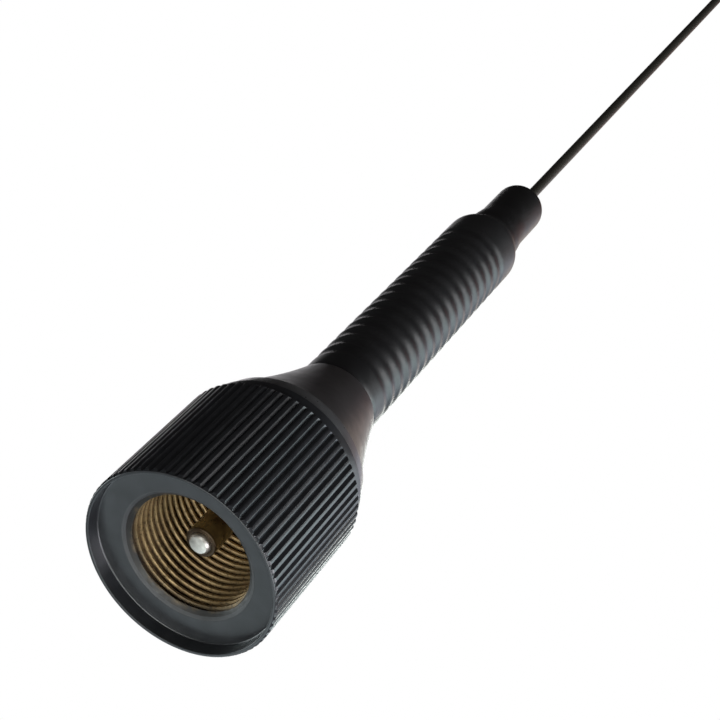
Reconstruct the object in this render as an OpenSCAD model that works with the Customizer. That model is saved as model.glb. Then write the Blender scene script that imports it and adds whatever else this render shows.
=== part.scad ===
// VHF whip antenna: a knurled coupling nut spins on a turned base, a sprung centre contact stands in its
// threaded mouth, and a rubber jacketed spring carries the whip. Sizes are millimetres. The rim of the nut
// lies on z = 0 and the whip points up along +Z.

/* [Coupling nut] */
// Diameter over the knurl
nut_d = 36.5; // [35.5:0.5:40]
// Length of the knurled grip
knurl_len = 29.7; // [28:0.1:34]
// Number of knurl ridges
knurl_count = 72; // [48:4:84]
// Angle of the first knurl ridge from the x axis
knurl_turn = 3.7; // [0:0.1:5]
// Depth of the grooves between the ridges
knurl_depth = 0.5; // [0.3:0.05:0.6]
// Share of the knurl pitch that stays as a flat ridge top
knurl_flat = 0.4; // [0.2:0.05:0.6]
// Length over which the knurl grooves run out behind the rim
knurl_runout = 0.9; // [0.6:0.1:2]
// Length of the plain shoulder behind the knurl
nut_shoulder_len = 2.6; // [2:0.1:5]
// Radial step from the knurl's roots in to the shoulder
nut_shoulder_step = 0.55; // [0.3:0.05:1]
// Thickness of the rim round the mouth
lip_t = 0.6; // [0.5:0.05:1]
// Depth of the mouth recess
recess_depth = 2.7; // [1.5:0.1:4]
// Major diameter of the coupling thread
thread_d = 24; // [23:0.5:26]
// Pitch of the coupling thread
thread_pitch = 1.5; // [1:0.25:2]
// Length of the coupling thread
thread_len = 22; // [18:0.5:22.5]
// Length of the bevel that leads into the thread
entry_len = 0.9; // [0.5:0.1:1.5]
// Radial step of that bevel outside the thread's major diameter
entry_step = 0.6; // [0.3:0.1:1]
// Thickness of the web that runs on the base
web_t = 5; // [4:0.5:5.5]

/* [Base] */
// Radial step from the nut's shoulder in to the land
land_step = 0.55; // [0.2:0.05:1]
// Length of the land behind the nut
land_len = 2.6; // [2:0.1:4]
// Radial fall of the land over its length
land_fall = 0.5; // [0.1:0.1:0.8]
// Radial width of the web's bearing on the cap nut
bearing_w = 2; // [1.5:0.1:2.5]
// Radial step from the neck in to its thread
neck_step = 0.9; // [0.6:0.1:1.2]
// Wall of the base inside the neck's thread
neck_wall = 1.5; // [1:0.1:1.8]
// Radial step of the ledge that the contact's insulator stops on
ledge_step = 1.5; // [1:0.1:2]
// Radial step from the land in to the spigot
spigot_step = 5.2; // [5:0.1:6]
// Length of the spigot that the cone sits on
spigot_len = 6.7; // [5:0.1:7.5]
// Length of the seat above the spigot
seat_len = 4; // [3:0.5:5]
// Wall of the seat
seat_wall = 2.4; // [1.8:0.1:2.6]
// Length of the cap nut that keeps the coupling nut on
cap_len = 2.8; // [2.2:0.1:3.4]
// Thickness of the cap nut's front lip
cap_lip = 0.7; // [0.5:0.1:1]
// Thickness of the thrust washer
washer_t = 0.4; // [0.3:0.1:0.8]
// Section diameter of the two seal rings
seal_d = 1.1; // [0.8:0.1:1.4]
// Radial distance of the dust seal inside the land's edge
dust_seal_inset = 2.8; // [2:0.1:3.5]
// Distance of the cone's seal above the land
cone_seal_rise = 2.5; // [1.5:0.1:3.5]

/* [Contact] */
// Depth of the pin's tip behind the rim
contact_depth = 6.1; // [4:0.1:9]
// How far the pin slides in
pin_travel = 0.9; // [0.5:0.1:1.5]
// Diameter of the contact pin
pin_d = 4; // [3:0.2:4.4]
// Diameter of the contact post
post_d = 5.8; // [5.6:0.2:7]
// Wall of the post round its spring bore
post_wall = 0.45; // [0.3:0.05:0.6]
// Depth of the spring bore in the post
post_bore_len = 12; // [10:0.5:14]
// Length of the pin's collar
collar_len = 2.8; // [2:0.2:4]
// Wire diameter of the contact spring
contact_wire_d = 0.5; // [0.3:0.1:0.6]
// Number of turns of the contact spring
contact_turns = 7; // [4:1:10]
// Diameter of the post's threaded end
post_stud_d = 4; // [3:0.5:4.5]
// Thickness of the contact's insulator
insulator_len = 5.3; // [4:0.1:6]
// Diameter of the feed wire
wire_d = 1.6; // [1:0.1:2]
// Depth of each solder cup
cup_len = 2; // [1.5:0.1:2.5]

/* [Cone] */
// Length of the cone cover
cone_len = 19.1; // [17:0.1:24]
// Radial step from the land in to the cone's foot
cone_step = 0.5; // [0.3:0.1:1]
// How far the cone's side is hollowed below a straight line
cone_hollow = 0.4; // [0:0.05:0.8]
// Radial step from the cone's top edge in to the jacket
cone_rim = 0.45; // [0.2:0.05:1]

/* [Flexible base] */
// Diameter of the rubber jacket over its crests
jacket_d = 17; // [16:0.5:19]
// Wall of the rubber jacket
jacket_wall = 1.2; // [1:0.1:1.6]
// Length of the smooth cuff under the first groove
cuff_len = 4.6; // [3:0.1:8]
// Number of ring grooves in the jacket
groove_count = 16; // [10:1:20]
// Spacing of the ring grooves
groove_pitch = 3.83; // [3:0.01:4.5]
// Depth of the ring grooves
groove_depth = 0.28; // [0.1:0.02:0.6]
// Length of the smooth stretch above the last groove
collar_plain_len = 6; // [3:0.1:8]
// Length over which the jacket's shoulder falls to the sleeve
shoulder_len = 6; // [3.5:0.1:8]
// Diameter at the foot of the sleeve
sleeve_foot_d = 13; // [12:0.1:14]
// Length of the sleeve's taper
taper_len = 8; // [6:0.1:18]
// Diameter of the sleeve
sleeve_d = 11.6; // [10.6:0.1:12]
// Length of the straight sleeve
sleeve_len = 9.9; // [6:0.1:14]
// Radius of the sleeve's rounded end
sleeve_round = 3.8; // [2:0.1:4]
// Wall of the sleeve round the whip's holder
sleeve_wall = 1.6; // [1.2:0.1:2]
// Length of solid rubber above the holder
sleeve_cap_len = 4.5; // [3:0.5:7]
// Wire diameter of the flexible spring
spring_wire_d = 3; // [2:0.1:3]
// Length of each stud that the spring grips
grip_len = 12; // [8:0.5:16]
// Diameter of the braid inside the spring
braid_d = 3.6; // [2:0.2:4]

/* [Whip] */
// Height of the whip's tip above the rim
overall_len = 480; // [300:5:600]
// Diameter of the whip
whip_d = 2.5; // [2:0.1:3]
// Length of the whip inside its holder
insert_len = 22; // [18:1:24]
// Diameter of the set screws
screw_d = 3; // [2:0.5:4]
// Spacing of the set screws
screw_pitch = 6; // [5:0.5:8]

/* [Clearances] */
// Radial clearance of screwed and running fits
fit_gap = 0.05; // [0.03:0.01:0.1]
// Radial gap between the cap nut and the thread's crests
cap_gap = 0.3; // [0.2:0.05:0.5]
// Axial play of the coupling nut
nut_play = 0.1; // [0.05:0.01:0.2]
// Gap between the nut's back and the land
rear_gap = 0.4; // [0.3:0.05:0.8]
// Gap between the land and the cone
cone_gap = 0.3; // [0.1:0.05:0.5]
// Gap between covers that meet
seam_gap = 0.1; // [0.05:0.01:0.3]
// Gap between the cone and the bush's flange
bush_gap = 0.3; // [0.2:0.05:0.5]
// Clearance round the flexible spring
spring_gap = 0.2; // [0.15:0.05:0.3]

/* [Hidden] */
$fn = 96;

// Chamfers: small edges, and the lead that starts a spring on its stud
chamfer = 0.4;
lead = 0.8;

// Radii of the coupling nut, from the knurl inwards
nut_r = nut_d / 2;
root_r = nut_r - knurl_depth;
rim_r = nut_r - knurl_depth / 2;
recess_r = rim_r - lip_t;
nut_shoulder_r = root_r - nut_shoulder_step;
major_r = thread_d / 2;
minor_r = major_r - 0.5413 * thread_pitch;
relief_r = major_r + 0.1;
entry_r = major_r + entry_step;

// Heights of the coupling nut
nut_len = knurl_len + nut_shoulder_len;
web_z = nut_len - web_t;
thread_z = recess_depth + entry_len;

// Base: radii from the cap nut outwards, heights from the nut's web backwards
cap_r = minor_r - cap_gap;
neck_r = cap_r - bearing_w;
base_thread_r = neck_r - neck_step;
bore_r = base_thread_r - neck_wall;
ledge_r = bore_r - ledge_step;
ledge_t = 1.2;
land_r = nut_shoulder_r - land_step;
land_back_r = land_r - land_fall;
spigot_r = land_r - spigot_step;
seat_r = bore_r + seat_wall;
washer_z = web_z - nut_play - washer_t;
cap_z = washer_z - cap_len;
base_z = cap_z + cap_lip;
land_z = nut_len + rear_gap;
land_back_z = land_z + land_len;
spigot_z = land_back_z + spigot_len;
seat_z = spigot_z + seat_len;
seal_ring_r = land_r - dust_seal_inset;
seal_groove = 0.95 * seal_d;
cone_seal_z = land_back_z + cone_seal_rise;

// Screwed joints: how far a thread shows past its nut, and the split washer
thread_show = 0.6;
lock_t = 0.5;

// Contact: the post is pulled against its insulator, which stops on the base's ledge
pin_r = pin_d / 2;
post_r = post_d / 2;
post_bore_r = post_r - post_wall;
collar_r = post_bore_r - fit_gap;
post_lip = 0.6;
post_z = contact_depth + pin_travel;
ledge_z = base_z + insulator_len;
post_stud_r = post_stud_d / 2;
post_nut_z = ledge_z + ledge_t + lock_t;
post_nut_h = 0.6 * post_stud_d;
post_end_z = post_nut_z + post_nut_h + thread_show;
collar_z = post_z + post_lip + fit_gap;
spring_seat_z = collar_z + collar_len;
post_bore_z = post_z + post_bore_len;
coil_gap = 0.4;
contact_wire_r = contact_wire_d / 2;
contact_spring_r = post_bore_r - coil_gap - contact_wire_r;
pin_tail_r = contact_spring_r - contact_wire_r - coil_gap;
wire_r = wire_d / 2;
cup_r = wire_r + fit_gap;

// Spring stud: its bush fills the base's seat and its nut pulls it down
stud_d = 5;
stud_r = stud_d / 2;
bush_z = seat_z - 1.5 * seat_len;
bush_flange_t = 2.2;
stud_nut_h = 0.54 * stud_d;
stud_end_z = bush_z - stud_nut_h - thread_show;
stud_flange_z = seat_z + bush_flange_t;
stud_flange_t = 2;
spring_z = stud_flange_z + stud_flange_t;

// Cone cover
cone_z = land_back_z + cone_gap;
cone_top_z = cone_z + cone_len;
cone_foot_r = land_back_r - cone_step;
jacket_r = jacket_d / 2;
cone_top_r = jacket_r + cone_rim;
cavity_r = jacket_r - jacket_wall;

// Rubber jacket, from its foot to its rounded end
jacket_z = cone_top_z + 2 * seam_gap;
groove_z = jacket_z + cuff_len;
groove_end_z = groove_z + groove_count * groove_pitch;
shoulder_z = groove_end_z + collar_plain_len;
sleeve_foot_z = shoulder_z + shoulder_len;
sleeve_z = sleeve_foot_z + taper_len;
sleeve_end_z = sleeve_z + sleeve_len;
jacket_end_z = sleeve_end_z + sleeve_round;
sleeve_r = sleeve_d / 2;
sleeve_foot_r = sleeve_foot_d / 2;

// Flexible spring and the whip's holder
spring_wire_r = spring_wire_d / 2;
spring_r = cavity_r - spring_gap - spring_wire_r;
holder_drop = 2.5;
spring_end_z = shoulder_z - holder_drop;
spring_len = spring_end_z - spring_z;
spring_turns = floor((spring_len - spring_wire_d) / (spring_wire_d + 0.1));
grip_gap = 0.3;
grip_r = spring_r - spring_wire_r - grip_gap;
flange_r = spring_r + spring_wire_r - spring_gap;
holder_flange_t = 1.2;
holder_r = sleeve_r - sleeve_wall;
holder_end_z = jacket_end_z - sleeve_cap_len;
braid_r = braid_d / 2;
braid_cup = 3;
whip_r = whip_d / 2;
whip_z = holder_end_z - insert_len;
screw_r = screw_d / 2;

// Smooth fall from 1 to 0 as u runs from 0 to 1
function ease(u) = (1 + cos(180 * u)) / 2;

// Points of a smooth step in radius from r0 at z0 to r1 at z1, leaving out its first point
function ease_points(r0, z0, r1, z1, steps) = [
    for (i = [1:steps])
        [r1 + (r0 - r1) * ease(i / steps), z0 + (z1 - z0) * i / steps]
];

// Points of a quarter round that turns from the side in to the end face
function round_points(r, z, fillet, steps) = [
    for (i = [1:steps])
        let (a = 90 * i / steps)
        [r - fillet + fillet * cos(a), z + fillet * sin(a)]
];

// Height at radius r on the line through two [radius, height] points
function height_at(p, q, r) = p[1] + (q[1] - p[1]) * (r - p[0]) / (q[0] - p[0]);

// Outline of the knurl: a flat ridge and a V groove for each pitch
function knurl_points() = [
    for (i = [0:knurl_count - 1])
        let (pitch_a = 360 / knurl_count, a = i * pitch_a, half = knurl_flat * pitch_a / 2)
        each [
            nut_r * [cos(a - half), sin(a - half)],
            nut_r * [cos(a + half), sin(a + half)],
            root_r * [cos(a + pitch_a / 2), sin(a + pitch_a / 2)]
        ]
];

// A solid of revolution from [radius, height] points
module revolve(points) {
    rotate_extrude() polygon(points);
}

// A plain ring between two radii
module ring(r_in, r_out, z, h) {
    revolve([[r_in, z], [r_out, z], [r_out, z + h], [r_in, z + h]]);
}

// A hexagon nut for a screw's diameter, with a plain bore
module hex_nut(screw_d, z, h) {
    translate([0, 0, z]) difference() {
        cylinder(d = 1.5 * screw_d / cos(30), h = h, $fn = 6);
        translate([0, 0, -1]) cylinder(r = screw_d / 2 + fit_gap, h = h + 2);
    }
}

// A round wire coiled about the z axis, between the heights of its centreline
module coil(r, wire_r, z0, z1, turns, segments, sides) {
    count = turns * segments;
    points = [
        for (i = [0:count], j = [0:sides - 1])
            let (a = 360 * i / segments, b = 360 * (j + 0.5) / sides, reach = r + wire_r * cos(b))
            [reach * cos(a), reach * sin(a), z0 + (z1 - z0) * i / count + wire_r * sin(b)]
    ];
    sides_faces = [
        for (i = [0:count - 1], j = [0:sides - 1])
            let (k = (j + 1) % sides, p = i * sides, q = p + sides)
            each [[p + j, q + j, q + k], [p + j, q + k, p + k]]
    ];
    ends = [[for (j = [0:sides - 1]) j], [for (j = [0:sides - 1]) (count + 1) * sides - 1 - j]];
    polyhedron(points, concat(sides_faces, ends));
}

// Knurled nut: the grip, the mouth recess, the thread's bore and the web that runs on the base
module coupling_nut() {
    bevel = 0.55;
    core_r = root_r - 0.1;
    outside_r = nut_r + 1;
    front = [rim_r - 0.05, 0.12];
    back = [core_r, knurl_len];
    front_z = height_at(front, [nut_r, bevel], outside_r);
    back_z = height_at(back, [nut_r, knurl_len - bevel], outside_r);
    bore_gap_r = neck_r + fit_gap;
    thread_end_z = thread_z + thread_len;
    color([0.10, 0.10, 0.11]) rotate([0, 0, knurl_turn]) difference() {
        union() {
            intersection() {
                linear_extrude(knurl_len) polygon(knurl_points());
                revolve([
                    [0, front[1]], front, [outside_r, front_z], [outside_r, back_z], back, [0, knurl_len]
                ]);
            }
            revolve([
                [0, 0], [rim_r, 0], [rim_r, bevel], [core_r, bevel + knurl_runout],
                [nut_shoulder_r, bevel + knurl_runout], [nut_shoulder_r, nut_len], [0, nut_len]
            ]);
        }
        revolve([
            [0, -1], [recess_r, -1], [recess_r, recess_depth], [entry_r, recess_depth], [minor_r, thread_z],
            [minor_r, thread_end_z], [relief_r, thread_end_z], [relief_r, web_z], [bore_gap_r, web_z],
            [bore_gap_r, nut_len + 1], [0, nut_len + 1]
        ]);
    }
}

// Turned base: neck for the nut, land, spigot for the cone and seat for the stud's bush
module base_body() {
    ring_groove = seal_d + 2 * fit_gap;
    color([0.30, 0.30, 0.31]) difference() {
        revolve([
            [bore_r, base_z], [base_thread_r, base_z], [base_thread_r, washer_z], [neck_r, washer_z],
            [neck_r, land_z], [land_r, land_z], [land_back_r, land_back_z], [spigot_r, land_back_z],
            [spigot_r, spigot_z], [seat_r, spigot_z], [seat_r, seat_z], [bore_r, seat_z],
            [bore_r, ledge_z + ledge_t], [ledge_r, ledge_z + ledge_t], [ledge_r, ledge_z], [bore_r, ledge_z]
        ]);
        ring(seal_ring_r - ring_groove / 2, seal_ring_r + ring_groove / 2, land_z - 1, 1 + seal_groove);
        ring(spigot_r - seal_groove, spigot_r + 1, cone_seal_z, ring_groove);
    }
}

// Cap nut on the front of the base: keeps the coupling nut on and holds the insulator in
module cap_nut() {
    slot_w = 1.6;
    slot_depth = 0.8;
    slot_r = base_thread_r + 1;
    color([0.55, 0.47, 0.30]) difference() {
        revolve([
            [ledge_r, cap_z], [cap_r - chamfer, cap_z], [cap_r, cap_z + chamfer], [cap_r, washer_z],
            [base_thread_r + fit_gap, washer_z], [base_thread_r + fit_gap, base_z], [ledge_r, base_z]
        ]);
        for (a = [0:90:270])
            rotate([0, 0, a]) translate([slot_r, -slot_w / 2, cap_z - 1])
                cube([cap_r, slot_w, 1 + slot_depth]);
    }
}

// Washer between the cap nut and the coupling nut's web
module thrust_washer() {
    color([0.80, 0.68, 0.40]) ring(neck_r + fit_gap, cap_r, washer_z, washer_t);
}

// Seal ring in the front face of the land
module dust_seal() {
    color([0.08, 0.08, 0.08]) rotate_extrude()
        translate([seal_ring_r, land_z + seal_groove - seal_d / 2]) circle(d = seal_d, $fn = 32);
}

// Seal ring in the spigot's groove, under the cone
module cone_seal() {
    color([0.08, 0.08, 0.08]) rotate_extrude()
        translate([spigot_r - seal_groove + seal_d / 2, cone_seal_z + fit_gap + seal_d / 2])
            circle(d = seal_d, $fn = 32);
}

// Moulded disc that carries the contact post; its boss passes through the base's ledge
module front_insulator() {
    hole_r = post_stud_r + fit_gap;
    body_r = bore_r - fit_gap;
    boss_r = ledge_r - fit_gap;
    boss_z = ledge_z + ledge_t;
    color([0.13, 0.13, 0.13]) revolve([
        [hole_r, base_z], [body_r, base_z], [body_r, ledge_z], [boss_r, ledge_z], [boss_r, boss_z],
        [hole_r, boss_z]
    ]);
}

// Contact post: a blind bore holds the spring and pin, and a rolled lip keeps them in
module contact_post() {
    color([0.45, 0.38, 0.27]) difference() {
        revolve([
            [0, post_z], [post_r - chamfer, post_z], [post_r, post_z + chamfer], [post_r, base_z],
            [post_stud_r, base_z], [post_stud_r, post_end_z - chamfer],
            [post_stud_r - chamfer, post_end_z], [0, post_end_z]
        ]);
        translate([0, 0, post_z - 1]) cylinder(r = pin_r + fit_gap, h = 2);
        translate([0, 0, post_z + post_lip]) cylinder(r = post_bore_r, h = post_bore_len - post_lip);
        translate([0, 0, post_end_z - cup_len]) cylinder(r = cup_r, h = cup_len + 1);
    }
}

// Sliding pin: a domed tip, a collar behind the post's lip and a tail inside the spring
module contact_pin() {
    dome = 0.35;
    tip_rise = 0.05;
    tail_len = 0.45 * (post_bore_z - spring_seat_z - pin_travel);
    color([0.75, 0.75, 0.74]) revolve([
        [0, contact_depth], [pin_r - dome, contact_depth + tip_rise], [pin_r, contact_depth + dome],
        [pin_r, collar_z], [collar_r, collar_z], [collar_r, spring_seat_z], [pin_tail_r, spring_seat_z],
        [pin_tail_r, spring_seat_z + tail_len], [0, spring_seat_z + tail_len]
    ]);
}

// Spring behind the pin
module contact_spring() {
    start_z = spring_seat_z + contact_wire_r + fit_gap;
    end_z = post_bore_z - contact_wire_r - fit_gap;
    color([0.70, 0.70, 0.70])
        coil(contact_spring_r, contact_wire_r, start_z, end_z, contact_turns, 12, 6);
}

// Split washer under the post's nut
module lock_washer() {
    split = 0.5;
    washer_w = 1.4;
    outer_r = post_stud_r + washer_w;
    color([0.60, 0.60, 0.60]) translate([0, 0, post_nut_z - lock_t]) difference() {
        ring(post_stud_r + fit_gap, outer_r, 0, lock_t);
        translate([0, -split / 2, -1]) cube([outer_r + 1, split, lock_t + 2]);
    }
}

// Nut that pulls the contact post against its insulator
module post_nut() {
    color([0.80, 0.68, 0.40]) hex_nut(post_stud_d, post_nut_z, post_nut_h);
}

// Wire soldered between the contact post and the spring stud
module feed_wire() {
    z = post_end_z - cup_len;
    color([0.72, 0.45, 0.20]) translate([0, 0, z]) cylinder(r = wire_r, h = stud_end_z + cup_len - z);
}

// Cone cover: hollowed outer side, bored for the spigot, the bush and the spring
module cone_cover() {
    bore_end_z = spigot_z + 2 * seam_gap;
    bush_end_z = stud_flange_z + bush_gap;
    bush_bore_r = seat_r + bush_gap;
    spigot_bore_r = spigot_r + fit_gap;
    top_z = cone_top_z - chamfer;
    steps = 12;
    side = [
        for (i = [0:steps])
            let (u = i / steps)
            [
                cone_foot_r + (cone_top_r - cone_foot_r) * u - 4 * cone_hollow * u * (1 - u),
                cone_z + (top_z - cone_z) * u
            ]
    ];
    color([0.27, 0.26, 0.26]) revolve(concat(
        [[spigot_bore_r, cone_z]], side, round_points(cone_top_r, top_z, chamfer, 4),
        [[cavity_r, cone_top_z], [cavity_r, bush_end_z], [bush_bore_r, bush_end_z]],
        [[bush_bore_r, bore_end_z], [spigot_bore_r, bore_end_z]]
    ));
}

// Flanged bush that keeps the spring stud clear of the base
module stud_insulator() {
    hole_r = stud_r + fit_gap;
    body_r = bore_r - fit_gap;
    color([0.85, 0.83, 0.76]) revolve([
        [hole_r, bush_z], [body_r, bush_z], [body_r, seat_z], [seat_r, seat_z], [seat_r, stud_flange_z],
        [hole_r, stud_flange_z]
    ]);
}

// Lower stud: clamped in the bush below, gripped by the spring above
module spring_stud() {
    grip_end_z = spring_z + grip_len;
    color([0.62, 0.55, 0.35]) difference() {
        revolve([
            [0, stud_end_z], [stud_r - chamfer, stud_end_z], [stud_r, stud_end_z + chamfer],
            [stud_r, stud_flange_z], [flange_r, stud_flange_z], [flange_r, spring_z], [grip_r, spring_z],
            [grip_r, grip_end_z - lead], [grip_r - lead, grip_end_z], [0, grip_end_z]
        ]);
        translate([0, 0, stud_end_z - 1]) cylinder(r = cup_r, h = cup_len + 1);
        translate([0, 0, grip_end_z - braid_cup]) cylinder(r = braid_r + fit_gap, h = braid_cup + 1);
    }
}

// Nut under the bush
module stud_nut() {
    color([0.80, 0.68, 0.40]) hex_nut(stud_d, bush_z - stud_nut_h, stud_nut_h);
}

// Close wound spring that lets the whip bend
module flex_spring() {
    start_z = spring_z + spring_wire_r;
    end_z = spring_end_z - spring_wire_r;
    color([0.50, 0.50, 0.52]) coil(spring_r, spring_wire_r, start_z, end_z, spring_turns, 16, 6);
}

// Braid inside the spring, soldered into both studs
module shunt_braid() {
    start_z = spring_z + grip_len - braid_cup;
    end_z = spring_end_z - grip_len + braid_cup;
    color([0.72, 0.45, 0.20]) translate([0, 0, start_z])
        cylinder(r = braid_r, h = end_z - start_z, $fn = 24);
}

// Upper stud and the socket that holds the whip
module whip_holder() {
    foot_z = spring_end_z - grip_len;
    flange_end_z = spring_end_z + holder_flange_t;
    color([0.62, 0.55, 0.35]) difference() {
        revolve([
            [0, foot_z], [grip_r - lead, foot_z], [grip_r, foot_z + lead], [grip_r, spring_end_z],
            [flange_r, spring_end_z], [flange_r, flange_end_z], [holder_r, flange_end_z],
            [holder_r, holder_end_z], [0, holder_end_z]
        ]);
        translate([0, 0, foot_z - 1]) cylinder(r = braid_r + fit_gap, h = braid_cup + 1);
        translate([0, 0, whip_z]) cylinder(r = whip_r + fit_gap, h = insert_len + 1);
        for (i = [1, 2])
            translate([0, 0, holder_end_z - i * screw_pitch])
                rotate([0, 90, 0]) cylinder(r = screw_r + fit_gap, h = holder_r + 1);
    }
}

// Two socket screws that clamp the whip
module set_screws() {
    inner = whip_r + fit_gap;
    outer = holder_r - 0.3;
    socket_depth = 1;
    color([0.25, 0.25, 0.25]) for (i = [1, 2])
        translate([0, 0, holder_end_z - i * screw_pitch]) rotate([0, 90, 0]) difference() {
            translate([0, 0, inner]) cylinder(r = screw_r, h = outer - inner);
            translate([0, 0, outer - socket_depth]) cylinder(r = screw_r / 2, h = 2, $fn = 6);
        }
}

// Moulded rubber jacket: ring grooves over the spring, a shoulder and a sleeve round the holder
module flex_jacket() {
    edge = 0.35;
    groove_steps = 6;
    grooves = [
        for (i = [0:groove_count * groove_steps])
            [
                jacket_r - groove_depth * (1 - cos(360 * i / groove_steps)) / 2,
                groove_z + groove_pitch * i / groove_steps
            ]
    ];
    socket_r = holder_r + fit_gap;
    mouth_r = whip_r + fit_gap;
    cavity_end_z = spring_end_z + holder_flange_t + seam_gap;
    color([0.09, 0.09, 0.09]) revolve(concat(
        [[cavity_r, jacket_z], [jacket_r - edge, jacket_z], [jacket_r, jacket_z + edge]],
        grooves,
        [[jacket_r, shoulder_z]],
        ease_points(jacket_r, shoulder_z, sleeve_foot_r, sleeve_foot_z, 10),
        ease_points(sleeve_foot_r, sleeve_foot_z, sleeve_r, sleeve_z, 6),
        [[sleeve_r, sleeve_end_z]],
        round_points(sleeve_r, sleeve_end_z, sleeve_round, 8),
        [[mouth_r, jacket_end_z], [mouth_r, holder_end_z], [socket_r, holder_end_z]],
        [[socket_r, cavity_end_z + holder_drop], [cavity_r, cavity_end_z]]
    ));
}

// Whip: a straight rod with a rounded tip
module whip_rod() {
    color([0.36, 0.34, 0.28]) revolve(concat(
        [[0, whip_z], [whip_r, whip_z], [whip_r, overall_len - whip_r]],
        round_points(whip_r, overall_len - whip_r, whip_r, 8)
    ));
}

coupling_nut();
base_body();
cap_nut();
thrust_washer();
dust_seal();
front_insulator();
contact_post();
contact_pin();
contact_spring();
lock_washer();
post_nut();
feed_wire();
cone_cover();
cone_seal();
stud_insulator();
spring_stud();
stud_nut();
flex_spring();
shunt_braid();
whip_holder();
set_screws();
flex_jacket();
whip_rod();
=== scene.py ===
"""Looks of the VHF whip antenna: finely modelled visible pieces, procedural finishes, studio and camera.

Profiles are written in millimetres in the CAD frame and scaled to metres when a mesh is made.
"""

import math

import bmesh
import bpy
from mathutils import Matrix, Vector


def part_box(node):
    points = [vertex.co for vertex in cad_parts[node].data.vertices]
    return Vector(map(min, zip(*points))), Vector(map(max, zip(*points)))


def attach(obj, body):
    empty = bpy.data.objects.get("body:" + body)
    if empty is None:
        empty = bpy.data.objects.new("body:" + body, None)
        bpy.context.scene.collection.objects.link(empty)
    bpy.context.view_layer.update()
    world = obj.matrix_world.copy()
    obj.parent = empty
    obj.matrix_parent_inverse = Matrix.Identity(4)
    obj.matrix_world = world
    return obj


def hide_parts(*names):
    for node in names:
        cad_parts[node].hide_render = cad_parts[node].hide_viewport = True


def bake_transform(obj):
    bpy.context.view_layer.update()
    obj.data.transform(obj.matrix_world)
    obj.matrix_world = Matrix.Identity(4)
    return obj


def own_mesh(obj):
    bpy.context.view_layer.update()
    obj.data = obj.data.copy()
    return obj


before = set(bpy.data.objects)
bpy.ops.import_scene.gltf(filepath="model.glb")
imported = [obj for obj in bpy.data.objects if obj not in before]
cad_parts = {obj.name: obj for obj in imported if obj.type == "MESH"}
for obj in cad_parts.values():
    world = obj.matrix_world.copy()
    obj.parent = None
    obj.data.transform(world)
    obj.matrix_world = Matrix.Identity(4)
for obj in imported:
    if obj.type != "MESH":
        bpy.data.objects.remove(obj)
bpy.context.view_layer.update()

MM = 0.001

# Heights and radii that the pieces share, in millimetres
KNURL_R = 18.25
KNURL_ROOT_R = 17.75
RIM_R = 18.0
RECESS_R = 17.4
RECESS_DEPTH = 2.7
KNURL_LEN = 29.7
KNURL_COUNT = 72
KNURL_TURN = math.radians(3.7)
SHOULDER_R = 17.2
NUT_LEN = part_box("coupling_nut")[1].z / MM
WEB_Z = 27.3
NECK_R = 8.888
THREAD_MINOR_R = 11.19
THREAD_MAJOR_R = 12.0
THREAD_PITCH = 1.5
ENTRY_R = 12.6
ENTRY_LEN = 0.9
THREAD_LEN = 22.0
RELIEF_R = 12.1
LAND_Z, LAND_R = 32.7, 16.65
CONE_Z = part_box("cone_cover")[0].z / MM
CONE_TOP_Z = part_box("cone_cover")[1].z / MM
JACKET_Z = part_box("flex_jacket")[0].z / MM
JACKET_END_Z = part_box("flex_jacket")[1].z / MM
JACKET_R = 8.5
CAVITY_R = 7.3
GROOVE_Z, GROOVE_PITCH, GROOVE_COUNT, GROOVE_DEPTH = 59.5, 3.83, 16, 0.28
POST_BORE_Z = 19.0
SPLIT_GROOVE = 7
SPLIT_Z = GROOVE_Z + SPLIT_GROOVE * GROOVE_PITCH


def smoothstep(x):
    x = min(max(x, 0.0), 1.0)
    return x * x * (3 - 2 * x)


def ease(u):
    """Falls smoothly from 1 to 0 as u runs from 0 to 1."""
    return (1 + math.cos(math.pi * u)) / 2


def ease_points(r0, z0, r1, z1, steps):
    """A smooth step in radius, without its first point."""
    return [
        (r1 + (r0 - r1) * ease(i / steps), z0 + (z1 - z0) * i / steps)
        for i in range(1, steps + 1)
    ]


def fillet(points, steps=4):
    """Rounds the corners of a closed outline; a point is (radius, height) or (radius, height, size of its round)."""
    out = []
    count = len(points)
    for i, point in enumerate(points):
        here = Vector(point[:2])
        size = point[2] if len(point) > 2 else 0
        if not size:
            out.append(tuple(here))
            continue
        before = Vector(points[i - 1][:2]) - here
        after = Vector(points[(i + 1) % count][:2]) - here
        first = here + before.normalized() * min(size, before.length * 0.48)
        last = here + after.normalized() * min(size, after.length * 0.48)
        for k in range(steps + 1):
            t = k / steps
            out.append(tuple(first * (1 - t) ** 2 + here * 2 * t * (1 - t) + last * t * t))
    return out


def new_object(name, bm, sharp_deg=38):
    """A smooth shaded object from a bmesh in millimetres, in metres and with its doubles merged."""
    bmesh.ops.scale(bm, vec=(MM, MM, MM), verts=bm.verts)
    bmesh.ops.remove_doubles(bm, verts=bm.verts, dist=2e-7)
    bmesh.ops.dissolve_degenerate(bm, edges=bm.edges, dist=1e-7)
    bmesh.ops.recalc_face_normals(bm, faces=bm.faces)
    mesh = bpy.data.meshes.new(name)
    bm.to_mesh(mesh)
    bm.free()
    mesh.shade_smooth()
    mesh.set_sharp_from_angle(angle=math.radians(sharp_deg))
    obj = bpy.data.objects.new(name, mesh)
    bpy.context.scene.collection.objects.link(obj)
    return obj


def add_grid(bm, rows, closed):
    """Faces between rows of points that each run once round the axis."""
    verts = [[bm.verts.new(p) for p in row] for row in rows]
    pairs = list(zip(verts, verts[1:]))
    if closed:
        pairs.append((verts[-1], verts[0]))
    for low, high in pairs:
        count = len(low)
        for i in range(count):
            j = (i + 1) % count
            bm.faces.new((low[i], low[j], high[j], high[i]))


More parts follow.
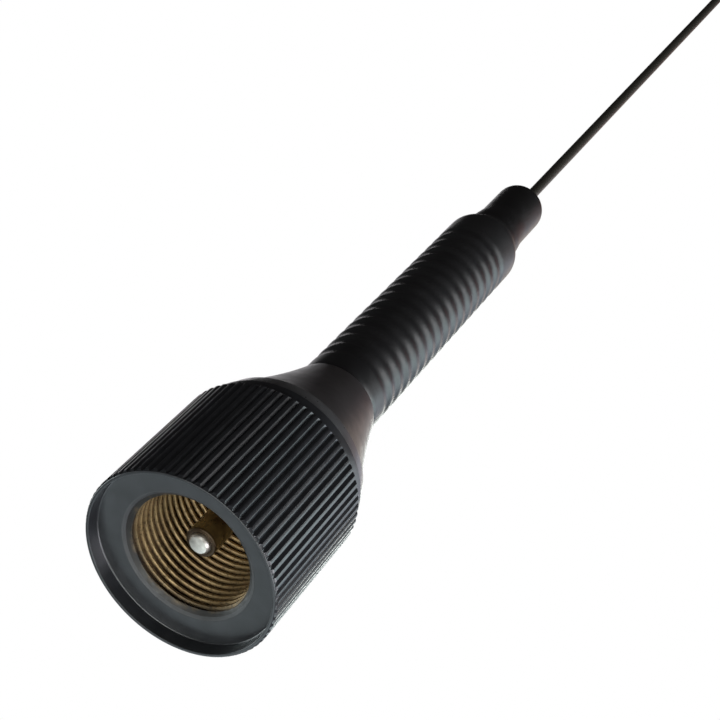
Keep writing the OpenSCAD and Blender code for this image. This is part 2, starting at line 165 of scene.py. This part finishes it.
def ring(r, z, columns):
    return [
        (r * math.cos(2 * math.pi * i / columns), r * math.sin(2 * math.pi * i / columns), z)
        for i in range(columns)
    ]


def lathe(name, outline, columns=144, sharp_deg=38):
    """A solid of revolution from a closed outline of (radius, height) points."""
    bm = bmesh.new()
    add_grid(bm, [ring(p[0], p[1], columns) for p in outline], closed=True)
    return new_object(name, bm, sharp_deg)


def tube(name, path, radius, sides):
    """A round wire along a path, with flat ends."""
    bm = bmesh.new()
    rings = []
    for i, point in enumerate(path):
        ahead = path[min(i + 1, len(path) - 1)] - path[max(i - 1, 0)]
        ahead.normalize()
        across = ahead.cross(Vector((0, 0, 1)))
        across = across.normalized() if across.length > 1e-6 else Vector((1, 0, 0))
        up = across.cross(ahead)
        turn = [2 * math.pi * k / sides for k in range(sides)]
        rings.append([bm.verts.new(point + radius * (across * math.cos(a) + up * math.sin(a))) for a in turn])
    for low, high in zip(rings, rings[1:]):
        for k in range(sides):
            m = (k + 1) % sides
            bm.faces.new((low[k], low[m], high[m], high[k]))
    bm.faces.new(rings[0])
    bm.faces.new(rings[-1])
    return new_object(name, bm, 60)


# Coupling nut


def knurl_radius(share):
    """Radius of the knurl at a share of its pitch, from -0.5 to 0.5 about a ridge's middle."""
    flat, soft = 0.18, 0.05
    x = abs(share)
    if x <= flat:
        return KNURL_R
    if x <= flat + soft:
        u = (x - flat) / soft
        return KNURL_R - 0.055 * u * u
    u = (x - flat - soft) / (0.5 - flat - soft)
    return KNURL_R - 0.055 - (KNURL_R - 0.055 - KNURL_ROOT_R) * u


def knurled_row(height_of):
    """One row round the knurl; height_of gives a column's height from its radius."""
    shares = (-0.5, -0.41, -0.32, -0.23, -0.205, -0.18, 0.0, 0.18, 0.205, 0.23, 0.32, 0.41)
    row = []
    for i in range(KNURL_COUNT):
        for share in shares:
            r = knurl_radius(share)
            a = KNURL_TURN + 2 * math.pi * (i + share) / KNURL_COUNT
            row.append((r * math.cos(a), r * math.sin(a), height_of(r)))
    return row


def knurl_angles():
    return [math.atan2(p[1], p[0]) for p in knurled_row(lambda r: 0)]


def knurl_front(r):
    """Height where a column of the knurl leaves the rim's bevel or the run-out of its groove."""
    bevel, runout = 0.55, 0.9
    if r >= RIM_R:
        return bevel * (r - RIM_R) / (KNURL_R - RIM_R)
    return bevel + runout * (RIM_R - r) / (RIM_R - KNURL_ROOT_R + 0.1)


def knurl_back(r):
    """Height where a column of the knurl meets the bevel at the back of the grip."""
    bevel, low = 0.55, KNURL_ROOT_R - 0.1
    u = (r - low) / (KNURL_R - low)
    return KNURL_LEN - bevel * u ** 1.6


def coupling_nut_body():
    angles = knurl_angles()

    def plain(points):
        return [[(r * math.cos(a), r * math.sin(a), z) for a in angles] for r, z in points]

    def between(u):
        return lambda r: knurl_front(r) * (1 - u) + knurl_back(r) * u

    thread_seat_r, thread_seat_z = 12.4, RECESS_DEPTH + 0.35
    cone_r = ENTRY_R - (ENTRY_R - THREAD_MINOR_R) * 0.35 / ENTRY_LEN
    thread_end_z = RECESS_DEPTH + ENTRY_LEN + THREAD_LEN
    inside = fillet([
        (SHOULDER_R, KNURL_LEN + 0.02), (SHOULDER_R, NUT_LEN, 0.25), (NECK_R + 0.05, NUT_LEN),
        (NECK_R + 0.05, WEB_Z, 0.1), (RELIEF_R, WEB_Z), (RELIEF_R, thread_end_z),
        (thread_seat_r, thread_end_z), (thread_seat_r, thread_seat_z), (cone_r, thread_seat_z),
        (ENTRY_R, RECESS_DEPTH, 0.16), (RECESS_R, RECESS_DEPTH, 0.28), (RECESS_R, 0.0, 0.12),
        (RIM_R, 0.0, 0.14), (RIM_R, 0.5),
    ])
    # The last corner only steers the rounding of the rim, and the knurl's own front row takes its place
    bm = bmesh.new()
    rows = plain(inside[:-1])
    rows += [knurled_row(between(u)) for u in (0, 0.02, 0.25, 0.5, 0.75, 0.98, 1)]
    rows += plain([(KNURL_ROOT_R - 0.12, KNURL_LEN)])
    add_grid(bm, rows, closed=True)
    return new_object("coupling_nut_body", bm, 30)


def thread_radius(z, turn):
    """Radius of the internal thread at a height and a share of a turn."""
    phase = (z / THREAD_PITCH - turn) % 1.0
    depth = THREAD_MAJOR_R - THREAD_MINOR_R
    if phase < 0.26:
        r = THREAD_MINOR_R
    elif phase < 0.60:
        r = THREAD_MINOR_R + depth * (phase - 0.26) / 0.34
    elif phase < 0.68:
        r = THREAD_MAJOR_R
    else:
        r = THREAD_MAJOR_R - depth * (phase - 0.68) / 0.32
    cone = ENTRY_R - (ENTRY_R - THREAD_MINOR_R) * (z - RECESS_DEPTH) / ENTRY_LEN
    return max(r, min(cone, THREAD_MAJOR_R + 0.05))


def coupling_nut_thread():
    """The right-hand thread as a closed liner: its rows follow the helix, so its crests stay clean."""
    columns = 144
    phases = (0.0, 0.09, 0.18, 0.26, 0.37, 0.49, 0.60, 0.68, 0.79, 0.90)
    z0 = RECESS_DEPTH + 0.35
    z1 = RECESS_DEPTH + ENTRY_LEN + THREAD_LEN
    outer = 12.4
    turns = range(math.floor(z0 / THREAD_PITCH) - 2, math.ceil(z1 / THREAD_PITCH) + 1)
    steps = [t + p for t in turns for p in phases]
    bm = bmesh.new()
    grid = []
    for i in range(columns):
        turn = i / columns
        a = 2 * math.pi * turn
        heights = [min(max((s + turn) * THREAD_PITCH, z0), z1) for s in steps]
        column = [(outer, z0)] + [(thread_radius(z, turn), z) for z in heights] + [(outer, z1)]
        grid.append([bm.verts.new((r * math.cos(a), r * math.sin(a), z)) for r, z in column])
    shift = len(phases)
    last = len(grid[0]) - 1
    for i in range(columns):
        near = grid[i]
        far = grid[(i + 1) % columns]
        if i + 1 < columns:
            pairs = [(k, k) for k in range(last + 1)]
        else:
            # One turn on, a row of the helix goes on as the row one pitch further
            pairs = [(k, k + shift) for k in range(1, last - shift)]
            pairs = [(0, 0)] + [(1, k) for k in range(1, shift + 1)] + pairs
            pairs += [(k, last - 1) for k in range(last - shift, last)] + [(last, last)]
        for (k0, m0), (k1, m1) in zip(pairs, pairs[1:]):
            corners = [near[k0], far[m0], far[m1], near[k1]]
            corners = [v for n, v in enumerate(corners) if v not in corners[:n]]
            if len(corners) > 2:
                bm.faces.new(corners)
        bm.faces.new((near[last], far[last], far[0], near[0]))
    return new_object("coupling_nut_thread", bm, 28)


# Turned pieces behind the nut


def base_body():
    bore_r, front_z, washer_z = 6.488, 24.7, 26.8
    back_z, back_r = LAND_Z + 2.6, LAND_R - 0.5
    spigot_r, spigot_z, seat_r, seat_z = 11.45, 42.0, 8.888, 46.0
    ledge_r, ledge_z = 4.988, 30.0
    return lathe("base_turned", fillet([
        (bore_r, front_z), (NECK_R - 0.9, front_z), (NECK_R - 0.9, washer_z), (NECK_R, washer_z),
        (NECK_R, LAND_Z), (LAND_R, LAND_Z, 0.25), (back_r, back_z, 0.2), (spigot_r, back_z),
        (spigot_r, spigot_z), (seat_r, spigot_z), (seat_r, seat_z), (bore_r, seat_z),
        (bore_r, ledge_z + 1.2), (ledge_r, ledge_z + 1.2), (ledge_r, ledge_z), (bore_r, ledge_z),
    ]), 216)


def cone_cover():
    foot_r, top_r, hollow, top_round = LAND_R - 1.0, JACKET_R + 0.45, 0.4, 0.4
    steps = 24
    side = []
    for i in range(steps + 1):
        u = i / steps
        side.append((
            foot_r + (top_r - foot_r) * u - 4 * hollow * u * (1 - u),
            CONE_Z + (CONE_TOP_Z - top_round - CONE_Z) * u,
        ))
    outline = [(11.5, CONE_Z), (foot_r - 0.2, CONE_Z), *[(r, z + 0.12 * (1 - i / steps)) for i, (r, z) in enumerate(side)]]
    outline += [
        (top_r - top_round * (1 - math.cos(math.radians(a))), CONE_TOP_Z - top_round + top_round * math.sin(math.radians(a)))
        for a in (20, 40, 60, 90)
    ]
    outline += [(CAVITY_R, CONE_TOP_Z), (CAVITY_R, 48.5), (9.188, 48.5), (9.188, 42.2), (11.5, 42.2)]
    return lathe("cone_turned", outline, 216)


def contact_post():
    front, shoulder, end = 7.0, 24.7, 34.7
    return lathe("contact_post_turned", fillet([
        (2.05, front, 0.1), (2.9, front, 0.35), (2.9, shoulder), (2.0, shoulder), (2.0, end, 0.3), (0.85, end),
        (0.85, end - 2), (0.0, end - 2), (0.0, POST_BORE_Z), (2.45, POST_BORE_Z), (2.45, front + 0.6), (2.05, front + 0.6),
    ]), 96)


def contact_pin():
    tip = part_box("contact_pin")[0].z / MM
    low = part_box("contact_pin")[1].z / MM
    return lathe("contact_pin_turned", fillet([
        (0.0, tip), (0.9, tip + 0.02), (1.6, tip + 0.10), (2.0, tip + 0.5, 0.42), (2.0, 7.65), (2.4, 7.65),
        (2.4, 10.45), (1.25, 10.45), (1.25, low), (0.0, low),
    ]), 96)


def contact_spring():
    """The spring behind the pin: the pin presses it against the end of the post's bore."""
    wire, end_z = 0.25, POST_BORE_Z
    start_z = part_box("contact_spring")[0].z / MM
    return tube("contact_spring_coil", coil_path(1.8, start_z + wire, end_z - wire - 0.05, 7), wire, 10)


# Flexible base


def jacket_outline():
    """Outer side of the rubber jacket, from its foot to its rounded end."""
    edge = 0.35
    steps = 12
    shoulder_z, foot_r, foot_z = 126.78, 6.5, 132.78
    sleeve_r, sleeve_z, sleeve_end_z, end_round = 5.8, 140.78, 150.68, 3.8
    points = [(JACKET_R - edge, JACKET_Z), (JACKET_R - 0.1, JACKET_Z + 0.1), (JACKET_R, JACKET_Z + edge)]
    points += [(JACKET_R, JACKET_Z + 1.5), (JACKET_R, GROOVE_Z - 0.6)]
    for i in range(GROOVE_COUNT * steps + 1):
        fall = GROOVE_DEPTH * (1 - math.cos(2 * math.pi * i / steps)) / 2
        points.append((JACKET_R - fall, GROOVE_Z + GROOVE_PITCH * i / steps))
    points += [(JACKET_R, shoulder_z)]
    points += ease_points(JACKET_R, shoulder_z, foot_r, foot_z, 14)
    points += ease_points(foot_r, foot_z, sleeve_r, sleeve_z, 10)
    points += [(sleeve_r, sleeve_end_z)]
    for i in range(1, 11):
        a = math.pi / 2 * i / 10
        points.append((sleeve_r - end_round * (1 - math.cos(a)), sleeve_end_z + end_round * math.sin(a)))
    return points


def jacket_halves():
    """The jacket in two pieces that meet on a crest, one for each hinge that bends it."""
    outer = jacket_outline()
    near_split = 0.01
    low = [p for p in outer if p[1] < SPLIT_Z - near_split]
    high = [p for p in outer if p[1] > SPLIT_Z + near_split]
    crest = (JACKET_R, SPLIT_Z)
    inner_low = [(CAVITY_R, SPLIT_Z), *[(CAVITY_R, SPLIT_Z - 2 * i) for i in range(1, 16)], (CAVITY_R, JACKET_Z)]
    inner_high = [(1.3, JACKET_END_Z), (1.3, 150.0), (4.25, 150.0), (4.25, 128.08), (CAVITY_R, 125.58)]
    inner_high += [(CAVITY_R, SPLIT_Z + 2 * i) for i in range(18, 0, -1)] + [(CAVITY_R, SPLIT_Z)]
    lower = lathe("flex_jacket_lower", low + [crest] + inner_low, 144)
    upper = lathe("flex_jacket_upper", [crest] + high + inner_high, 144)
    return lower, upper


def coil_path(r, z0, z1, turns, segments=28):
    count = int(round(turns * segments))
    return [
        Vector((
            r * math.cos(2 * math.pi * i / segments),
            r * math.sin(2 * math.pi * i / segments),
            z0 + (z1 - z0) * i / count,
        ))
        for i in range(count + 1)
    ]


def spring_halves():
    low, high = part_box("flex_spring")
    wire = 1.5
    z0, z1 = low.z / MM + wire, high.z / MM - wire
    path = coil_path(5.6, z0, z1, 22)
    cut = next(i for i, p in enumerate(path) if p.z > SPLIT_Z)
    return (
        tube("flex_spring_lower", path[: cut + 1], wire, 12),
        tube("flex_spring_upper", path[cut:], wire, 12),
    )


def braid_halves():
    low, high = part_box("shunt_braid")
    z0, z1 = low.z / MM, high.z / MM

    def part(name, a, b):
        steps = 24
        heights = [a + (b - a) * i / steps for i in range(steps + 1)]
        outline = [(0.0, a), *[(1.8, z) for z in heights], (0.0, b)]
        return lathe(name, outline, 32)

    return part("shunt_braid_lower", z0, SPLIT_Z), part("shunt_braid_upper", SPLIT_Z, z1)


def whip_rod():
    low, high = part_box("whip_rod")
    z0, z1 = low.z / MM, high.z / MM
    r = 1.25
    outline = [(0.0, z0), (r, z0)]
    steps = 40
    outline += [(r, z0 + (z1 - r - z0) * i / steps) for i in range(1, steps + 1)]
    outline += [
        (r * math.cos(math.pi / 2 * i / 8), z1 - r + r * math.sin(math.pi / 2 * i / 8)) for i in range(1, 9)
    ]
    return lathe("whip_rod_drawn", outline, 40)


# Materials


class Finish:
    """A node material: a Principled shader with its colour, roughness and bump worked out in object space."""

    def __init__(self, name, roughness=0.4, metallic=0.0, specular=0.5):
        self.material = bpy.data.materials.new(name)
        self.material.use_nodes = True
        self.tree = self.material.node_tree
        self.shader = self.tree.nodes["Principled BSDF"]
        self.shader.inputs["Metallic"].default_value = metallic
        self.shader.inputs["Roughness"].default_value = roughness
        self.shader.inputs["Specular IOR Level"].default_value = specular
        self.place = self.node("ShaderNodeTexCoord").outputs["Object"]

    def node(self, kind, **values):
        node = self.tree.nodes.new(kind)
        for key, value in values.items():
            setattr(node, key, value)
        return node

    def link(self, a, b):
        self.tree.links.new(a, b)

    def noise(self, scale, detail=4.0, stretch=None):
        place = self.place
        if stretch:
            mapping = self.node("ShaderNodeMapping")
            mapping.inputs["Scale"].default_value = stretch
            self.link(place, mapping.inputs["Vector"])
            place = mapping.outputs["Vector"]
        node = self.node("ShaderNodeTexNoise")
        node.inputs["Scale"].default_value = scale
        node.inputs["Detail"].default_value = detail
        self.link(place, node.inputs["Vector"])
        return node.outputs["Fac"]

    def remap(self, value, low, high, to_low, to_high):
        node = self.node("ShaderNodeMapRange")
        for socket, number in zip(("From Min", "From Max", "To Min", "To Max"), (low, high, to_low, to_high)):
            node.inputs[socket].default_value = number
        self.link(value, node.inputs["Value"])
        return node.outputs["Result"]

    def mix(self, factor, a, b):
        node = self.node("ShaderNodeMix", data_type="RGBA")
        self.link(factor, node.inputs["Factor"])
        for socket, colour in (("A", a), ("B", b)):
            target = next(s for s in node.inputs if s.name == socket and s.type == "RGBA")
            if isinstance(colour, tuple):
                target.default_value = (*colour, 1)
            else:
                self.link(colour, target)
        return next(s for s in node.outputs if s.type == "RGBA")

    def math(self, operation, a, b):
        node = self.node("ShaderNodeMath", operation=operation)
        for socket, value in zip(node.inputs, (a, b)):
            if isinstance(value, (int, float)):
                socket.default_value = value
            else:
                self.link(value, socket)
        return node.outputs["Value"]

    def height(self):
        """Height above the rim, in metres."""
        node = self.node("ShaderNodeSeparateXYZ")
        self.link(self.place, node.inputs["Vector"])
        return node.outputs["Z"]

    def radius(self):
        """Distance from the axis, in metres."""
        flat = self.node("ShaderNodeVectorMath", operation="MULTIPLY")
        flat.inputs[1].default_value = (1, 1, 0)
        self.link(self.place, flat.inputs[0])
        node = self.node("ShaderNodeVectorMath", operation="LENGTH")
        self.link(flat.outputs["Vector"], node.inputs[0])
        return node.outputs["Value"]

    def colour(self, value):
        self.link(value, self.shader.inputs["Base Color"])

    def rough(self, low, high, scale, stretch=None):
        self.link(self.remap(self.noise(scale, 5, stretch), 0.3, 0.7, low, high), self.shader.inputs["Roughness"])

    def bump(self, value, strength, distance):
        node = self.node("ShaderNodeBump")
        node.inputs["Strength"].default_value = strength
        node.inputs["Distance"].default_value = distance
        self.link(value, node.inputs["Height"])
        self.link(node.outputs["Normal"], self.shader.inputs["Normal"])


def plain_finish(name, dark, light, rough, metallic=0.0, specular=0.5, scale=400, grain=2500, bump=0.15):
    """A finish whose colour and roughness vary a little, over a fine grain."""
    f = Finish(name, metallic=metallic, specular=specular)
    f.colour(f.mix(f.remap(f.noise(scale), 0.3, 0.7, 0, 1), dark, light))
    f.rough(rough[0], rough[1], scale * 1.7)
    f.bump(f.noise(grain, 3), bump, 0.00004)
    return f.material


def nut_finish():
    f = Finish("black_coating", specular=0.76)
    f.colour(f.mix(f.remap(f.noise(300), 0.35, 0.7, 0, 1), (0.015, 0.016, 0.018), (0.023, 0.0245, 0.0275)))
    grain = f.remap(f.noise(500, 5), 0.3, 0.7, 0.28, 0.36)
    mouth_edge = f.remap(f.radius(), 0.0124, 0.0130, 0.32, 0)
    f.link(f.math("ADD", grain, mouth_edge), f.shader.inputs["Roughness"])
    f.bump(f.noise(3500, 3), 0.08, 0.00002)
    return f.material


def thread_finish():
    """Brass crests, groove bottoms darkened as painted shade, and the outside coating fading over the first turns."""
    f = Finish("thread_brass", metallic=0.55)
    brass = f.mix(f.remap(f.noise(260), 0.3, 0.7, 0, 1), (0.22, 0.142, 0.062), (0.37, 0.262, 0.125))
    # Painted shade: the colour darkens towards the groove bottoms, where shade falls.
    groove = f.remap(f.radius(), (THREAD_MINOR_R + 0.25) * MM, (THREAD_MAJOR_R - 0.12) * MM, 0, 1)
    dirt = f.remap(f.noise(1900, 3), 0.52, 0.68, 0, 0.75)
    # Noise spots of real dirt over the brass and its painted groove shade.
    brass_dirt_and_groove_shade = f.mix(dirt, f.mix(groove, brass, (0.165, 0.098, 0.045)), (0.060, 0.036, 0.016))
    edge = f.math("ADD", f.height(), f.remap(f.noise(350), 0.3, 0.7, -0.0005, 0.0005))
    coat = f.remap(edge, 0.0034, 0.0056, 1, 0)
    f.colour(f.mix(coat, brass_dirt_and_groove_shade, (0.026, 0.025, 0.024)))
    f.rough(0.38, 0.58, 700)
    f.bump(f.noise(2600, 3), 0.2, 0.00003)
    return f.material


def post_finish():
    f = Finish("aged_brass", metallic=0.7)
    brass = f.mix(f.remap(f.noise(240, 5), 0.35, 0.65, 0, 1), (0.105, 0.055, 0.021), (0.40, 0.27, 0.10))
    # Painted shade: below this height, on the post's front around the pin, the brass is painted dark.
    f.colour(f.mix(f.remap(f.height(), 0.0071, 0.0076, 0, 1), (0.045, 0.027, 0.013), brass))
    f.rough(0.22, 0.40, 500)
    f.bump(f.noise(1500, 3, (1, 1, 0.15)), 0.15, 0.00003)
    return f.material


def pin_finish():
    f = Finish("silver_plate", metallic=1.0)
    f.colour(f.mix(f.remap(f.noise(900, 5), 0.35, 0.7, 0, 1), (0.64, 0.60, 0.54), (0.96, 0.92, 0.85)))
    f.rough(0.32, 0.48, 900)
    f.bump(f.noise(1400, 4), 0.35, 0.00006)
    return f.material


def jacket_finish():
    f = Finish("jacket_rubber", specular=0.75)
    # Painted shade: the sleeve gets a darker colour than the rest of the same rubber, so that it looks dimmer.
    sleeve_shade_mask = f.remap(f.height(), 0.127, 0.132, 0, 1)
    rubber = f.mix(f.remap(f.noise(200), 0.35, 0.7, 0, 1), (0.0092, 0.0092, 0.0096), (0.0148, 0.0148, 0.0154))
    f.colour(f.mix(sleeve_shade_mask, rubber, (0.0035, 0.0033, 0.0033)))
    f.rough(0.37, 0.45, 350)
    f.bump(f.noise(2600, 3), 0.12, 0.00003)
    return f.material


def cone_finish():
    """Dark satin metal with faint turning rings."""
    f = Finish("dark_satin", specular=0.65)
    f.colour(f.mix(f.remap(f.noise(160), 0.35, 0.7, 0, 1), (0.034, 0.030, 0.030), (0.048, 0.043, 0.043)))
    f.rough(0.36, 0.46, 400)
    f.bump(f.noise(900, 3, (0.2, 0.2, 6.0)), 0.10, 0.00003)
    return f.material


def rod_finish():
    f = Finish("olive_coating", specular=0.8)
    f.colour(f.mix(f.remap(f.noise(300, 4, (1, 1, 0.1)), 0.3, 0.7, 0, 1), (0.026, 0.024, 0.017), (0.036, 0.033, 0.025)))
    f.rough(0.38, 0.44, 500, (1, 1, 0.1))
    f.bump(f.noise(2200, 3), 0.05, 0.00002)
    return f.material


def braid_finish():
    """Copper with a woven look."""
    f = Finish("copper_braid", metallic=1.0)
    wave = f.node("ShaderNodeTexWave", wave_type="BANDS", bands_direction="DIAGONAL")
    wave.inputs["Scale"].default_value = 900
    f.link(f.place, wave.inputs["Vector"])
    f.colour(f.mix(wave.outputs["Fac"], (0.22, 0.08, 0.03), (0.62, 0.28, 0.12)))
    f.rough(0.3, 0.45, 600)
    f.bump(wave.outputs["Fac"], 0.6, 0.0001)
    return f.material


def give(obj, material):
    if obj.data.materials:
        for i in range(len(obj.data.materials)):
            obj.data.materials[i] = material
    else:
        obj.data.materials.append(material)


def dress(obj, material, slot, body, *nodes):
    """Material, body and replaced nodes of a new rigid piece; the slot argument is not used."""
    give(obj, material)
    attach(obj, body)
    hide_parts(*nodes)


def dress_soft(halves, material, node):
    """Material and replaced node of a piece in two halves, with the halves' transforms baked into their meshes."""
    lower, upper = halves
    for half in halves:
        give(half, material)
        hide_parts(node)
    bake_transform(lower)
    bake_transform(upper)


def build_pieces():
    black = nut_finish()
    dress(coupling_nut_body(), black, "black_coated_brass", "nut", "coupling_nut")
    dress(coupling_nut_thread(), thread_finish(), "bare_brass", "nut", "coupling_nut")
    dress(contact_post(), post_finish(), "aged_brass", "base", "contact_post")
    dress(contact_pin(), pin_finish(), "silver_plate", "pin", "contact_pin")
    land = plain_finish("land_grey", (0.070, 0.070, 0.071), (0.095, 0.095, 0.096), (0.26, 0.34), specular=1.0)
    dress(base_body(), land, "grey_metal", "base", "base_body")
    dress(cone_cover(), cone_finish(), "dark_metal", "base", "cone_cover")
    dress(whip_rod(), rod_finish(), "olive_coated_steel", "whip", "whip_rod")
    dress_soft(jacket_halves(), jacket_finish(), "flex_jacket")
    steel = plain_finish("spring_steel", (0.20, 0.20, 0.21), (0.34, 0.34, 0.35), (0.25, 0.4), metallic=1.0)
    dress_soft(spring_halves(), steel, "flex_spring")
    coil = contact_spring()
    dress(coil, steel, "spring_steel", "base", "contact_spring")
    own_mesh(coil)
    dress_soft(braid_halves(), braid_finish(), "shunt_braid")
    brass = plain_finish("bare_brass", (0.34, 0.21, 0.06), (0.50, 0.33, 0.12), (0.28, 0.42), metallic=1.0)
    seal = plain_finish("seal_rubber", (0.006, 0.006, 0.006), (0.010, 0.010, 0.010), (0.5, 0.7))
    plastic = plain_finish("black_plastic", (0.010, 0.010, 0.010), (0.016, 0.016, 0.016), (0.4, 0.55))
    white = plain_finish("white_plastic", (0.62, 0.59, 0.48), (0.72, 0.69, 0.58), (0.4, 0.55))
    copper = plain_finish("copper_wire", (0.40, 0.15, 0.04), (0.62, 0.27, 0.10), (0.3, 0.45), metallic=1.0)
    kept = {
        "cap_nut": brass, "thrust_washer": brass, "post_nut": brass, "spring_stud": brass, "stud_nut": brass,
        "whip_holder": brass, "dust_seal": seal, "cone_seal": seal, "front_insulator": plastic,
        "stud_insulator": white, "feed_wire": copper, "lock_washer": steel, "set_screws": steel,
    }
    for node, material in kept.items():
        give(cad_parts[node], material)


# Studio


def world_light():
    """A plain room: white to the camera, a little dimmer and warmer as a light."""
    world = bpy.data.worlds.new("studio")
    bpy.context.scene.world = world
    world.use_nodes = True
    tree = world.node_tree
    tree.nodes.clear()
    room = tree.nodes.new("ShaderNodeBackground")
    room.inputs["Color"].default_value = (1.0, 0.91, 0.95, 1)
    room.inputs["Strength"].default_value = 0.025
    white = tree.nodes.new("ShaderNodeBackground")
    white.inputs["Color"].default_value = (1, 1, 1, 1)
    rays = tree.nodes.new("ShaderNodeLightPath")
    mix = tree.nodes.new("ShaderNodeMixShader")
    out = tree.nodes.new("ShaderNodeOutputWorld")
    tree.links.new(rays.outputs["Is Camera Ray"], mix.inputs["Fac"])
    tree.links.new(room.outputs["Background"], mix.inputs[1])
    tree.links.new(white.outputs["Background"], mix.inputs[2])
    tree.links.new(mix.outputs["Shader"], out.inputs["Surface"])


def floor():
    """A pale floor that is seen only from above, because the photograph looks up into the mouth."""
    half, drop = 3.0, 0.00005
    mesh = bpy.data.meshes.new("floor")
    corners = [(-half, -half, -drop), (half, -half, -drop), (half, half, -drop), (-half, half, -drop)]
    mesh.from_pydata(corners, [], [(0, 1, 2, 3)])
    obj = bpy.data.objects.new("floor", mesh)
    bpy.context.scene.collection.objects.link(obj)
    f = Finish("pale_floor", roughness=0.9)
    f.shader.inputs["Base Color"].default_value = (0.82, 0.82, 0.82, 1)
    glow = f.node("ShaderNodeEmission")
    far = f.node("ShaderNodeMixShader")
    f.link(f.remap(f.radius(), 0.05, 0.5, 0.35, 1), far.inputs["Fac"])
    f.link(f.shader.outputs["BSDF"], far.inputs[1])
    f.link(glow.outputs["Emission"], far.inputs[2])
    clear = f.node("ShaderNodeBsdfTransparent")
    rays = f.node("ShaderNodeLightPath")
    geometry = f.node("ShaderNodeNewGeometry")
    shown = f.node("ShaderNodeMath", operation="SUBTRACT", use_clamp=True)
    f.link(rays.outputs["Is Camera Ray"], shown.inputs[0])
    f.link(geometry.outputs["Backfacing"], shown.inputs[1])
    mix = f.node("ShaderNodeMixShader")
    f.link(shown.outputs["Value"], mix.inputs["Fac"])
    f.link(clear.outputs["BSDF"], mix.inputs[1])
    f.link(far.outputs["Shader"], mix.inputs[2])
    f.link(mix.outputs["Shader"], f.tree.nodes["Material Output"].inputs["Surface"])
    material = f.material
    mesh.materials.append(material)


def softbox(name, direction, strength, near=False):
    """A round area lamp that the camera doesn't see, far off or near the jacket; its strength is a colour in watts."""
    aim, distance, size = (0.09, 0.4, 0.22) if near else (0.05, 1.2, 0.75)
    toward = Vector(direction).normalized()
    data = bpy.data.lights.new(name, "AREA")
    data.shape = "DISK"
    data.size = size
    data.energy = max(strength)
    data.color = [s / data.energy for s in strength]
    lamp = bpy.data.objects.new(name, data)
    lamp.location = Vector((0, 0, aim)) + toward * distance
    lamp.rotation_euler = (-toward).to_track_quat("-Z", "Y").to_euler()
    lamp.visible_camera = False
    bpy.context.scene.collection.objects.link(lamp)


def camera():
    """The photograph's view, fitted to the nut's rim, thread and grip: from below, into the mouth."""
    forward = Vector((-0.00662808, 0.63681925, 0.77098464))
    up = Vector((-0.68913741, -0.5615892, 0.45793799))
    right = forward.cross(up).normalized()
    up = right.cross(forward).normalized()
    data = bpy.data.cameras.new("camera")
    data.sensor_fit = "HORIZONTAL"
    data.angle = math.radians(25.71)
    data.clip_start = 0.005
    obj = bpy.data.objects.new("camera", data)
    obj.matrix_world = Matrix.Translation((0, -0.19721, -0.16875)) @ Matrix((
        (right.x, up.x, -forward.x, 0), (right.y, up.y, -forward.y, 0), (right.z, up.z, -forward.z, 0), (0, 0, 0, 1),
    ))
    bpy.context.scene.collection.objects.link(obj)
    bpy.context.scene.camera = obj


camera()
build_pieces()
world_light()
floor()
softbox("mouth_left", (-0.23, -0.23, -0.95), (6.2, 6.4, 6.2))
softbox("mouth_right", (0.22, -0.12, -0.96), (6.9, 7.2, 7.0))
softbox("low_back", (0.29, 0.72, -0.62), (1.7, 2.0, 2.1))
softbox("left_back", (-0.65, 0.71, -0.27), (7.2, 8.1, 8.3))
softbox("high_front", (0.67, -0.66, 0.34), (5.1, 5.1, 5.2))
softbox("high_right", (0.84, -0.18, 0.52), (1.9, 2.7, 2.7))
softbox("panel_right", (0.79, -0.12, 0.58), (1.2, 1.2, 1.3))
softbox("top", (0.24, 0.50, 0.83), (1.55, 1.35, 1.15))
softbox("top_back", (-0.17, 0.62, 0.77), (2.0, 1.95, 2.0))
softbox("warm_top", (0.50, 0.10, 0.86), (0.34, 0.12, 0.11))
softbox("near_right", (0.84, -0.26, -0.48), (1.1, 1.1, 1.18), near=True)
softbox("near_back", (0.23, 0.73, 0.64), (0.46, 0.51, 0.50), near=True)
softbox("near_top", (0.64, 0.23, 0.73), (0.06, 0.08, 0.10), near=True)

bpy.context.scene.view_settings.view_transform = "Standard"
